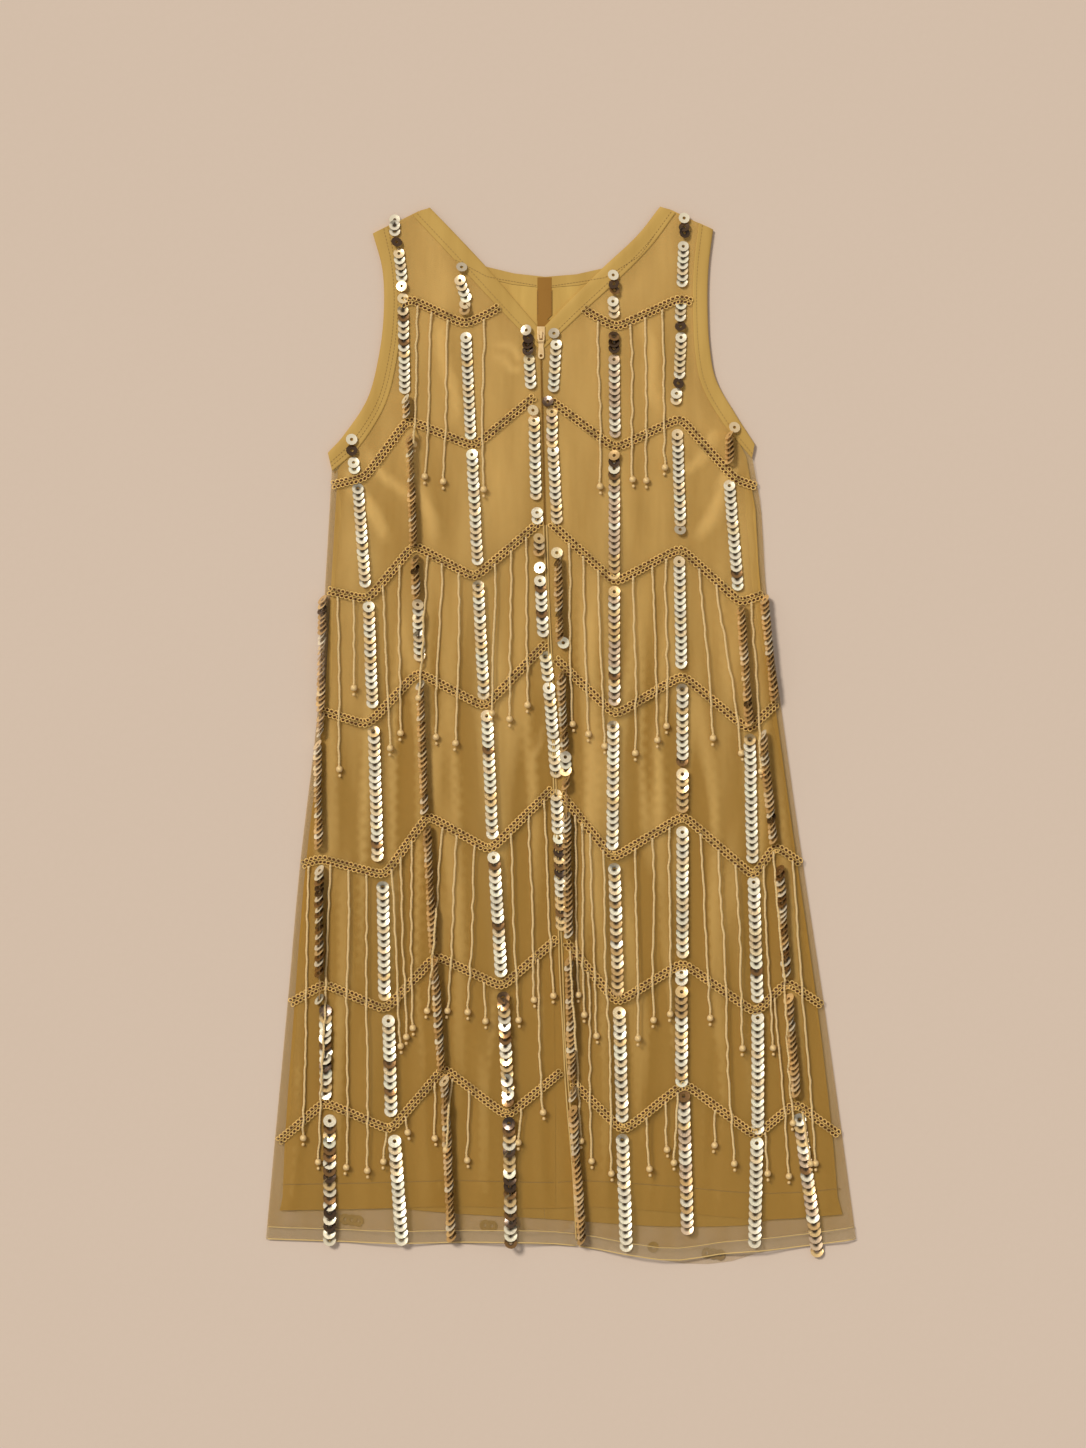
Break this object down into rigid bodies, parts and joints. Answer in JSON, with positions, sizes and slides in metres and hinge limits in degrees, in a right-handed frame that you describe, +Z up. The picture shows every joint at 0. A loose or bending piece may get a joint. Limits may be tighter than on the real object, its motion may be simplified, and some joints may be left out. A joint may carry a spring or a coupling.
{
  "type": "sequin party dress laid flat",
  "caption": "Sleeveless A-line party dress laid flat, with a lining, a sheer overlay split at the front, bound V neck and armholes, zigzag braids, beaded fringe and a front zip pull.",
  "frame": {"origin": "middle of the dress's bounding box, on the surface that it lies on", "axes": "+X to the right as seen from the front, +Y from the hem to the neck, +Z up out of the front"},
  "size_m": [0.59, 1.057, 0.0185],
  "materials": {
    "overlay": "sheer mustard tulle",
    "lining": "matt mustard lining",
    "binding": "satin-like mustard binding",
    "tape": "golden brown woven tape",
    "braid": "gold crochet braid and twisted thread",
    "zip_metal": "dull gold"
  },
  "bodies": {
    "dress": {"overlay_back": "overlay", "overlay_front_left": "overlay", "overlay_front_right": "overlay", "lining_back_left": "lining", "lining_back_right": "lining", "lining_front_left": "lining", "lining_front_right": "lining", "back_neck_facing": "binding", "back_seam_tape": "tape", "neck_binding_left": "binding", "neck_binding_right": "binding", "armhole_binding_front_left": "binding", "armhole_binding_front_right": "binding", "armhole_binding_back_left": "binding", "armhole_binding_back_right": "binding", "braid_1_left": "braid", "braid_1_right": "braid", "braid_2_left": "braid", "braid_2_right": "braid", "braid_3_left": "braid", "braid_3_right": "braid", "braid_4_left": "braid", "braid_4_right": "braid", "braid_5_left": "braid", "braid_5_right": "braid", "braid_6_left": "braid", "braid_6_right": "braid", "braid_7_left": "braid", "braid_7_right": "braid", "zip_slider": "zip_metal"},
    "zip_pull": {"zip_pull": "zip_metal"}
  },
  "joints": [
    {"name": "zip_pull_hinge", "type": "hinge", "parent": "dress", "child": "zip_pull", "pos_m": [-0.02, 0.4, 0.0079], "axis": [-1, 0, 0], "range_deg": [0, 150]}
  ]
}
